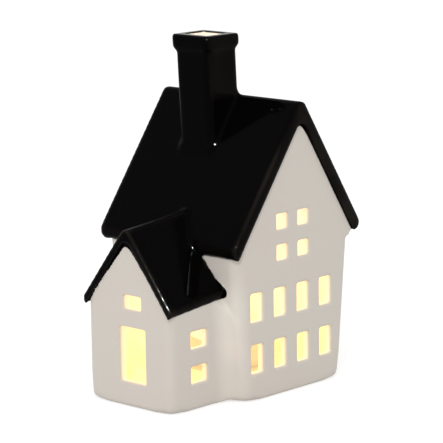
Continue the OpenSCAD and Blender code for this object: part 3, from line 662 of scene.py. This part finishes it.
def makeWalls():
    piece = remeshed(mergedCopy("houseWalls", "house_walls"), wallForm["voxel"])
    points = readPoints(piece.data)
    roofs = mergedCopy("roofProbe", "main_roof", "wing_roof")
    probe = BVHTree.FromObject(roofs, bpy.context.evaluated_depsgraph_get())
    bpy.data.objects.remove(roofs)
    gaps, sides = nearest(points, probe, wallForm["reach"] * mm)
    gaps = np.abs(gaps)
    touching = gaps < wallForm["contact"] * mm
    cover = coverDepth(points, readNormals(piece.data), touching, probe, wallForm["cover"] * mm)
    push = np.clip(cover - wallForm["push"] * mm, 0, wallForm["push"] * mm)
    points = softened(points, readEdges(piece.data), gaps)
    writePoints(piece.data, points - sides * push[:, None])
    thinner = piece.modifiers.new("fewer", "DECIMATE")
    thinner.ratio = wallForm["kept"]
    mesh = applied(piece).data
    points = withinBox(readPoints(mesh))
    edges = readEdges(mesh)
    writePoints(mesh, points)
    saveAttribute(mesh, "inside", litDepth(points, readNormals(mesh)))
    saveAttribute(mesh, "edge", edgeMask(points, edges, readNormals(mesh)))
    savePaintedCornerGlow(mesh, ownPlaces(points))
    saveAttribute(mesh, "line", lineDistance(points, edges, probe))
    mesh.materials.append(whiteGlaze)
    mesh.shade_smooth()
    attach(piece, "house")
    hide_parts("house_walls")
    print("white walls:", len(mesh.polygons), "faces")


makeWalls()


# Black roofs and chimney
roofForm = {"voxel": 0.72, "rounds": 4, "swell": 0.4, "normalRounds": 4,
            "reach": 4.0, "held": 0.3, "free": 2.0}
# painted reflection: how much lighter the black gets on the right-facing verges and the chimney's right side
paintedSheen = {"verge": 0.3, "frontVerge": 0.4, "stackSide": 0.12, "vergeIn": (0.6, 1.2), "fade": 6.0}
seam = {"lift": 1.2, "low": 20.0, "far": 60.0, "wingEnd": 7.0, "wingTop": 130.0, "noseSteps": 8,
        "eaveIn": 2.0, "stackFront": 8.0, "stackBack": 4.0, "stackTop": 180.0,
        "stackLeft": 16.0, "stackRight": 17.0,
        "smallest": 0.003, "nearSkin": 0.4, "facing": 0.75}


def slopeLine(y, lift):
    # height of the front slope, moved outwards by lift
    pitch = math.radians(house["frontPitch"])
    return house["ridgeZ"] - (house["ridgeY"] - y) * math.tan(pitch) + lift / math.cos(pitch)


def backLine(y, lift):
    pitch = math.radians(house["backPitch"])
    return house["ridgeZ"] - (y - house["ridgeY"]) * math.tan(pitch) + lift / math.cos(pitch)


liningIn = 0.6


def liningShare(own):
    # 1 on the bare inside of the roofs and the flue
    x, y, z = own.T
    wall = house["wall"] - liningIn  # the bare part starts this far inside the wall's thickness
    front = math.radians(house["frontPitch"])
    back = math.radians(house["backPitch"])
    under = np.minimum((slopeLine(y, 0) - z) * math.cos(front), (backLine(y, 0) - z) * math.cos(back))
    inMain = (under > house["roofThick"] - 1.0) & (np.abs(x) < house["halfLength"] - wall)
    inMain &= (y > wall - house["frontLean"] * z) & (y < house["depth"] + house["backLean"] * z - wall)
    pitch = math.radians(house["wingPitch"])
    drop = wingDrop(x, y, z) * math.cos(pitch)
    inWing = (drop > house["wingRoofThick"] - 0.9) & (np.abs(x - house["wingX"]) < house["wingHalf"] - wall)
    inWing &= (y > house["wingFront"] + wall) & (y < 3.0)
    down = house["topZ"] - z
    flueX = np.abs(x - house["chimneyX"] - down * math.tan(math.radians(house["leanX"])))
    flueY = np.abs(y - house["chimneyY"] - down * math.tan(math.radians(house["leanY"])))
    inFlue = (flueX < house["flueX"] + 0.5) & (flueY < house["flueY"] + 0.5) & (down > 0.25)
    return (inMain | inWing | inFlue).astype(float)


def keepSkinNormals(mesh, source, sourceNormals):
    # a cut piece keeps the whole skin's shading, so no seam shows in the gloss
    normals = [(0.0, 0.0, 0.0)] * len(mesh.loops)
    for face in mesh.polygons:
        for loop in face.loop_indices:
            point = mesh.vertices[mesh.loops[loop].vertex_index].co
            found = source.find(point)
            skin = sourceNormals[found[1]]
            if found[2] < seam["nearSkin"] * mm and face.normal.dot(skin) > seam["facing"]:
                normals[loop] = skin
    mesh.normals_split_custom_set(normals)


def cleanCut(mesh):
    # a cut leaves faces with no width, and points that only two edges share
    work = bmesh.new()
    work.from_mesh(mesh)
    bmesh.ops.dissolve_degenerate(work, dist=seam["smallest"] * mm, edges=work.edges)
    between = [point for point in work.verts if len(point.link_edges) == 2]
    bmesh.ops.dissolve_verts(work, verts=between)
    gapCount = sum(1 for edge in work.edges if len(edge.link_faces) != 2)
    print("cut cleaned:", len(between), "points out,", gapCount, "open edges")
    work.to_mesh(mesh)
    work.free()


def blackSkin():
    # the roofs and the chimney as one skin, so that the glaze runs through every joint
    whole = remeshed(mergedCopy("blackSkin", "main_roof", "wing_roof", "chimney"), roofForm["voxel"])
    mesh = whole.data
    edges = readEdges(mesh)
    points = readPoints(mesh)
    walls = mergedCopy("wallProbe", "house_walls")
    probe = BVHTree.FromObject(walls, bpy.context.evaluated_depsgraph_get())
    bpy.data.objects.remove(walls)
    gaps = nearest(points, probe, roofForm["reach"] * mm)[0]
    freedom = smoothStep(np.abs(gaps), roofForm["held"] * mm, roofForm["free"] * mm)
    writePoints(mesh, relax(points, edges, freedom, roofForm["rounds"]))
    points = readPoints(mesh)
    points = withinBox(points + readNormals(mesh) * (freedom * roofForm["swell"] * mm)[:, None])
    writePoints(mesh, points)
    normals = smoothed(readNormals(mesh), edges, roofForm["normalRounds"])
    normals /= np.linalg.norm(normals, axis=1)[:, None]
    own = ownPlaces(points)
    saveAttribute(mesh, "lining", smoothed(liningShare(own), edges, 2))
    saveAttribute(mesh, "edge", blackEdgeAndSheen(points, own, edges, normals))
    mesh.materials.append(blackGlaze)
    mesh.shade_smooth()
    print("black skin:", len(mesh.polygons), "faces")
    return whole, points, normals


def blackEdgeAndSheen(points, own, edges, normals):
    # lighter black: thin glaze on outer edges, and a painted reflection on the right-facing verges and the
    # chimney's right side above the ridge
    x, y, z = own.T
    lighter = edgeMask(points, edges, normals) * (1 - 0.8 * smoothStep(z, 105.0, 125.0))
    verge = smoothStep(x - house["halfLength"], *paintedSheen["vergeIn"])
    behind = smoothStep(y, house["ridgeY"] - paintedSheen["fade"], house["ridgeY"])
    verge *= paintedSheen["frontVerge"] + (1 - paintedSheen["frontVerge"]) * behind
    stack = smoothStep(z, house["ridgeZ"] - paintedSheen["fade"], house["ridgeZ"])
    sheenSides = np.maximum(paintedSheen["verge"] * verge, paintedSheen["stackSide"] * stack)
    return np.maximum(lighter, sheenSides * smoothStep(normals[:, 0], 0.5, 0.9))


def makeWingCutter():
    # lies a little above the front slope, round the eave's nose, and ends before the chimney
    lift = seam["lift"]
    turn = 180 - house["frontPitch"]
    noseY = house["ridgeY"] - house["frontRun"]
    noseZ = slopeLine(noseY, -house["noseRadius"])
    reach = house["noseRadius"] + lift
    end, top = seam["wingEnd"], seam["wingTop"]
    outline = [(-seam["far"], seam["low"]), (-seam["far"], top), (end, top), (end, slopeLine(end, lift))]
    for step in range(seam["noseSteps"] + 1):
        angle = math.radians(90 + house["frontPitch"] + step * turn / seam["noseSteps"])
        outline.append((noseY + reach * math.cos(angle), noseZ + reach * math.sin(angle)))
    outline += [(seam["eaveIn"], noseZ - reach), (seam["eaveIn"], seam["low"])]
    return prism("wingCutter", outline, -seam["far"], seam["far"])


def makeChimneyCutter():
    lift = seam["lift"]
    front = seam["stackFront"]
    back = house["ridgeY"] + seam["stackBack"]
    outline = [(front, seam["stackTop"]), (front, slopeLine(front, lift)),
               (house["ridgeY"], slopeLine(house["ridgeY"], lift)),
               (back, backLine(back, lift)), (back, seam["stackTop"])]
    return prism("chimneyCutter", outline, house["chimneyX"] - seam["stackLeft"],
                 house["chimneyX"] + seam["stackRight"])


def makeRoofs():
    whole, points, normals = blackSkin()
    wingCutter = makeWingCutter()
    chimneyCutter = makeChimneyCutter()
    chimney = clipped(whole, chimneyCutter, "INTERSECT", "chimneyStack")
    rest = clipped(whole, chimneyCutter, "DIFFERENCE", "roofRest")
    wing = clipped(rest, wingCutter, "INTERSECT", "wingRoof")
    main = clipped(rest, wingCutter, "DIFFERENCE", "mainRoof")
    vectors = [Vector(normal) for normal in normals]
    source = KDTree(len(points))
    for index, point in enumerate(points):
        source.insert(point, index)
    source.balance()
    shown = bpy.data.collections.new("blackPieces")
    for piece, node in ((chimney, "chimney"), (wing, "wing_roof"), (main, "main_roof")):
        cleanCut(piece.data)
        keepSkinNormals(piece.data, source, vectors)
        shown.objects.link(piece)
        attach(piece, "house")
        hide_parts(node)
        print(piece.name, len(piece.data.polygons), "faces")
    for helper in (whole, rest, wingCutter, chimneyCutter):
        bpy.data.objects.remove(helper)
    return shown


blackPieces = makeRoofs()


# Light unit materials
def plasticMaterial(name, colour, other, rough, grain=5200.0, depth=0.00003):
    material, tree, shader, place = newMaterial(name)
    skin = useGroup(tree, mouldGrain, place, Grain=grain)
    plug(tree, mixColour(tree, skin.outputs["Tone"], colour, other), shader.inputs["Base Color"])
    plug(tree, spread(tree, skin.outputs["Tone"], 0.0, 1.0, rough, rough + 0.12), shader.inputs["Roughness"])
    bump(tree, shader, skin.outputs["Height"], depth)
    return material


def metalMaterial(name, colour, dull, rough, stretch):
    material, tree, shader, place = newMaterial(name)
    skin = useGroup(tree, drawnMetal, place, Stretch=stretch)
    plug(tree, mixColour(tree, skin.outputs["Tone"], colour, dull), shader.inputs["Base Color"])
    plug(tree, spread(tree, skin.outputs["Tone"], 0.0, 1.0, rough, rough + 0.16), shader.inputs["Roughness"])
    shader.inputs["Metallic"].default_value = 1.0
    bump(tree, shader, skin.outputs["Height"], 0.00002)
    return material


def boardMaterial():
    material, tree, shader, place = newMaterial("solderMask")
    grid = newNode(tree, "ShaderNodeTexBrick")
    grid.inputs["Scale"].default_value = 420.0
    grid.inputs["Mortar Size"].default_value = 0.035
    plug(tree, place, grid.inputs["Vector"])
    mottled = spread(tree, noise(tree, place, 900.0, 2.0), 0.4, 0.6, 0.0, 1.0)
    green = mixColour(tree, mottled, (0.010, 0.085, 0.030), (0.014, 0.105, 0.040))
    tracks = spread(tree, grid.outputs["Fac"], 0.0, 1.0, 0.0, 0.8)
    plug(tree, mixColour(tree, tracks, green, (0.03, 0.20, 0.07)), shader.inputs["Base Color"])
    plug(tree, spread(tree, mottled, 0.0, 1.0, 0.28, 0.38), shader.inputs["Roughness"])
    bump(tree, shader, grid.outputs["Fac"], 0.00003)
    return material


def lampMaterial():
    material, tree, shader, place = newMaterial("lampResin")
    up = spread(tree, heightOf(tree, place), 0.018, 0.0264, 0.0, 1.0)
    haze = spread(tree, noise(tree, place, 1400.0, 2.0), 0.3, 0.7, 0.9, 1.0)
    colour = mixColour(tree, up, (1.0, 0.70, 0.28), (1.0, 0.88, 0.60))
    plug(tree, mixColour(tree, 1.0, colour, haze, "MULTIPLY"), shader.inputs["Base Color"])
    plug(tree, mixColour(tree, up, (1.0, 0.62, 0.20), (1.0, 0.90, 0.66)), shader.inputs["Emission Color"])
    shader.inputs["Emission Strength"].default_value = 2.5
    plug(tree, spread(tree, haze, 0.9, 1.0, 0.05, 0.12), shader.inputs["Roughness"])
    return material


resistorBands = {0.22: (0.45, 0.20, 0.03), 0.40: (0.02, 0.02, 0.02), 0.58: (0.40, 0.03, 0.02),
                 0.82: (0.62, 0.42, 0.10)}


def resistorMaterial():
    material, tree, shader, place = newMaterial("resistorBody")
    parts = newNode(tree, "ShaderNodeSeparateXYZ")
    plug(tree, place, parts.inputs[0])
    low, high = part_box("resistor")
    colour = mixColour(tree, noise(tree, place, 2500.0), (0.62, 0.47, 0.27), (0.70, 0.56, 0.34))
    for share, paint in resistorBands.items():
        middle = low.y + (high.y - low.y) * share
        away = mathNode(tree, "ABSOLUTE", mathNode(tree, "SUBTRACT", parts.outputs["Y"], middle), 0.0)
        colour = mixColour(tree, spread(tree, away, 0.00015, 0.00019, 1.0, 0.0), colour, paint)
    plug(tree, colour, shader.inputs["Base Color"])
    plug(tree, spread(tree, noise(tree, place, 900.0), 0.3, 0.7, 0.2, 0.32), shader.inputs["Roughness"])
    return material


def dressLightUnit():
    ivory = plasticMaterial("ivoryPlastic", (0.76, 0.73, 0.66), (0.80, 0.77, 0.70), 0.38)
    rubber = plasticMaterial("ringRubber", (0.74, 0.69, 0.60), (0.79, 0.75, 0.67), 0.5, 3600.0, 0.00005)
    greyCase = plasticMaterial("switchCase", (0.17, 0.18, 0.19), (0.21, 0.22, 0.23), 0.35)
    knobPlastic = plasticMaterial("knobPlastic", (0.012, 0.012, 0.012), (0.022, 0.021, 0.021), 0.4)
    redWire = plasticMaterial("redInsulation", (0.42, 0.02, 0.02), (0.50, 0.03, 0.025), 0.3)
    steel = metalMaterial("platedSteel", (0.62, 0.62, 0.60), (0.48, 0.47, 0.45), 0.24, (1.0, 1.0, 10.0))
    tinned = metalMaterial("tinnedWire", (0.66, 0.66, 0.64), (0.52, 0.52, 0.50), 0.3, (12.0, 12.0, 1.0))
    brass = metalMaterial("springBrass", (0.72, 0.52, 0.22), (0.58, 0.40, 0.16), 0.26, (1.0, 10.0, 1.0))
    nickel = metalMaterial("cellNickel", (0.66, 0.65, 0.62), (0.56, 0.55, 0.52), 0.2, (1.0, 9.0, 9.0))
    finishes = {
        "light_housing": ivory, "light_cap": ivory, "battery_cover": ivory, "grip_ring": rubber,
        "circuit_board": boardMaterial(), "board_screws": steel, "cover_screw": steel, "lamp": lampMaterial(),
        "lamp_leads": tinned, "resistor": resistorMaterial(), "resistor_leads": tinned,
        "positive_contact": brass, "negative_contact": brass, "switch_terminals": brass,
        "battery_cell_1": nickel, "battery_cell_2": nickel, "battery_cell_3": nickel,
        "switch_body": greyCase, "switch_wires": redWire, "switch_knob": knobPlastic}
    for nodeName, material in finishes.items():
        for slot in cad[nodeName].material_slots:
            slot.material = material
    return ivory


ivoryPlastic = dressLightUnit()
print("light unit dressed")


# Moulded ridges: a thumb grip under the battery cover and a knurled flange
thumbGrip = {"Count": 6, "Spacing": 2.0, "Length": 8.6, "Width": 0.8, "Height": 0.3}
flangeKnurl = {"Count": 72, "Radius": 21.5, "Length": 1.5, "Width": 0.8, "Height": 0.25}


def ridgeTree(name, around):
    # half-sunk rounded ridges along a row, or around a ring pointing at its middle
    tree = bpy.data.node_groups.new(name, "GeometryNodeTree")
    takes = newNode(tree, "NodeGroupInput")
    gives = newNode(tree, "NodeGroupOutput")
    layout = "Radius" if around else "Spacing"
    tree.interface.new_socket("Count", in_out="INPUT", socket_type="NodeSocketInt")
    for label in (layout, "Length", "Width", "Height"):
        tree.interface.new_socket(label, in_out="INPUT", socket_type=floatSocket)
    tree.interface.new_socket("Finish", in_out="INPUT", socket_type="NodeSocketMaterial")
    tree.interface.new_socket("Geometry", in_out="OUTPUT", socket_type="NodeSocketGeometry")
    ridge = newNode(tree, "GeometryNodeMeshCylinder", fill_type="TRIANGLE_FAN")
    ridge.inputs["Vertices"].default_value = 16
    plug(tree, mathNode(tree, "MULTIPLY", takes.outputs["Width"], 0.5), ridge.inputs["Radius"])
    plug(tree, takes.outputs["Length"], ridge.inputs["Depth"])
    flat = newNode(tree, "ShaderNodeCombineXYZ")
    flat.inputs["X"].default_value = 1.0
    flat.inputs["Z"].default_value = 1.0
    double = mathNode(tree, "MULTIPLY", takes.outputs["Height"], 2.0)
    plug(tree, mathNode(tree, "DIVIDE", double, takes.outputs["Width"]), flat.inputs["Y"])
    laid = newNode(tree, "GeometryNodeTransform")
    laid.inputs["Rotation"].default_value = (math.pi / 2, 0, 0)
    plug(tree, flat.outputs[0], laid.inputs["Scale"])
    plug(tree, ridge.outputs["Mesh"], laid.inputs["Geometry"])
    spots = newNode(tree, "GeometryNodeInstanceOnPoints")
    plug(tree, laid.outputs["Geometry"], spots.inputs["Instance"])
    if around:
        layoutNode = newNode(tree, "GeometryNodeMeshCircle")
        plug(tree, takes.outputs["Count"], layoutNode.inputs["Vertices"])
        plug(tree, takes.outputs["Radius"], layoutNode.inputs["Radius"])
        turned = newNode(tree, "FunctionNodeAlignRotationToVector", axis="Y", pivot_axis="Z")
        plug(tree, newNode(tree, "GeometryNodeInputPosition").outputs[0], turned.inputs["Vector"])
        plug(tree, turned.outputs[0], spots.inputs["Rotation"])
    else:
        layoutNode = newNode(tree, "GeometryNodeMeshLine")
        offset = newNode(tree, "ShaderNodeCombineXYZ")
        plug(tree, takes.outputs["Spacing"], offset.inputs["X"])
        plug(tree, offset.outputs[0], layoutNode.inputs["Offset"])
        plug(tree, takes.outputs["Count"], layoutNode.inputs["Count"])
    plug(tree, layoutNode.outputs["Mesh"], spots.inputs["Points"])
    solid = newNode(tree, "GeometryNodeRealizeInstances")
    plug(tree, spots.outputs["Instances"], solid.inputs[0])
    finish = newNode(tree, "GeometryNodeSetMaterial")
    plug(tree, solid.outputs[0], finish.inputs["Geometry"])
    plug(tree, takes.outputs["Finish"], finish.inputs["Material"])
    plug(tree, finish.outputs[0], gives.inputs[0])
    return tree


def makeRidges(name, tree, values, place, body):
    # values in millimetres, place is the middle of the ridges in the row frame
    piece = linked(name, bpy.data.meshes.new(name))
    modifier = piece.modifiers.new("ridges", "NODES")
    modifier.node_group = tree
    for item in tree.interface.items_tree:
        if item.in_out == "INPUT" and item.name == "Finish":
            modifier[item.identifier] = ivoryPlastic
        elif item.in_out == "INPUT":
            modifier[item.identifier] = values[item.name] * (1 if item.name == "Count" else mm)
    piece.update_tag()
    applied(piece)
    piece.data.transform(Matrix.Translation(place))
    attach(piece, body)
    print(name, len(piece.data.polygons), "faces")


def ridgeBodies():
    low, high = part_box("battery_cover")
    span = (thumbGrip["Count"] - 1) * thumbGrip["Spacing"] * mm
    middle = Vector((-span / 2, (low.y + high.y) / 2, low.z))
    makeRidges("thumbGrip", ridgeTree("ridgeRow", False), thumbGrip, middle, "battery_cover")
    low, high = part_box("light_housing")
    middle = Vector(((low.x + high.x) / 2, (low.y + high.y) / 2, low.z))
    makeRidges("flangeKnurl", ridgeTree("ridgeRing", True), flangeKnurl, middle, "house")


ridgeBodies()


# Light and floor: lengths in metres
studio = {"world": 0.86, "sky": (1.0, 0.985, 0.965), "floorReach": 6.0, "floorBounce": (0.70, 0.69, 0.68),
          "floorPaint": (0.5, 0.5, 0.5), "floorLift": 0.62, "aim": (0, 0, 0.08), "lampLift": 0.008,
          "key": {"place": (1.0, -1.35, 1.25), "size": 0.045, "power": 9.0, "colour": (1.0, 0.98, 0.96)},
          "fill": {"place": (-1.0, -2.2, 0.8), "size": 0.9, "power": 2.6, "colour": (0.97, 0.98, 1.0)},
          "lamp": {"power": 0.020, "colour": (1.0, 0.70, 0.33), "radius": 0.003},
          "glint": {"place": (1.0, -1.35, 1.25), "size": 0.18, "power": 1800.0, "colour": (1.0, 1.0, 1.0)}}


def seenShare(tree):
    # 1 for the camera's own rays and for what gloss and glass show
    path = newNode(tree, "ShaderNodeLightPath")
    seen = mathNode(tree, "MAXIMUM", path.outputs["Is Glossy Ray"], path.outputs["Is Transmission Ray"])
    return mathNode(tree, "MAXIMUM", seen, path.outputs["Is Camera Ray"])


def makeWorld():
    world = bpy.data.worlds.new("studioWorld")
    bpy.context.scene.world = world
    world.use_nodes = True
    tree = world.node_tree
    tree.nodes.clear()
    soft = newNode(tree, "ShaderNodeBackground")
    soft.inputs["Color"].default_value = studio["sky"] + (1,)
    soft.inputs["Strength"].default_value = studio["world"]
    white = newNode(tree, "ShaderNodeBackground")
    white.inputs["Color"].default_value = (1, 1, 1, 1)
    mix = newNode(tree, "ShaderNodeMixShader")
    plug(tree, seenShare(tree), mix.inputs[0])
    plug(tree, soft.outputs[0], mix.inputs[1])
    plug(tree, white.outputs[0], mix.inputs[2])
    plug(tree, mix.outputs[0], newNode(tree, "ShaderNodeOutputWorld").inputs["Surface"])


def makeFloor():
    mesh = bpy.data.meshes.new("studioFloor")
    reach = studio["floorReach"]
    corners = [(x * reach, y * reach, 0) for x, y in ((-1, -1), (1, -1), (1, 1), (-1, 1))]
    mesh.from_pydata(corners, [], [(0, 1, 2, 3)])
    floor = linked("studioFloor", mesh)
    material = bpy.data.materials.new("floorWhite")
    material.use_nodes = True
    tree = material.node_tree
    tree.nodes.clear()
    paint = newNode(tree, "ShaderNodeBsdfDiffuse")
    paint.inputs["Color"].default_value = studio["floorBounce"] + (1,)
    seenPaint = newNode(tree, "ShaderNodeBsdfDiffuse")
    seenPaint.inputs["Color"].default_value = studio["floorPaint"] + (1,)
    lift = newNode(tree, "ShaderNodeEmission")
    lift.inputs["Strength"].default_value = studio["floorLift"]
    lifted = newNode(tree, "ShaderNodeAddShader")
    plug(tree, seenPaint.outputs[0], lifted.inputs[0])
    plug(tree, lift.outputs[0], lifted.inputs[1])
    mix = newNode(tree, "ShaderNodeMixShader")
    plug(tree, seenShare(tree), mix.inputs[0])
    plug(tree, paint.outputs[0], mix.inputs[1])
    plug(tree, lifted.outputs[0], mix.inputs[2])
    plug(tree, mix.outputs[0], newNode(tree, "ShaderNodeOutputMaterial").inputs["Surface"])
    mesh.materials.append(material)


def areaLamp(name, values):
    data = bpy.data.lights.new(name, "AREA")
    data.energy = values["power"]
    data.size = values["size"]
    data.color = values["colour"]
    lamp = bpy.data.objects.new(name, data)
    bpy.context.scene.collection.objects.link(lamp)
    lamp.location = values["place"]
    way = Vector(studio["aim"]) - Vector(values["place"])
    lamp.rotation_euler = way.to_track_quat("-Z", "Y").to_euler()
    return lamp


def innerLamp():
    data = bpy.data.lights.new("houseLamp", "POINT")
    data.energy = studio["lamp"]["power"]
    data.color = studio["lamp"]["colour"]
    data.shadow_soft_size = studio["lamp"]["radius"]
    lamp = bpy.data.objects.new("houseLamp", data)
    bpy.context.scene.collection.objects.link(lamp)
    lamp.location = lampPlace + Vector((0, 0, studio["lampLift"]))


makeWorld()
makeFloor()
areaLamp("keyLamp", studio["key"])
areaLamp("fillLamp", studio["fill"])
glintLamp = areaLamp("glintLamp", studio["glint"])
glintLamp.visible_diffuse = False
glintLamp.light_linking.receiver_collection = blackPieces
innerLamp()
bpy.context.scene.view_settings.view_transform = "Standard"
print("studio ready")
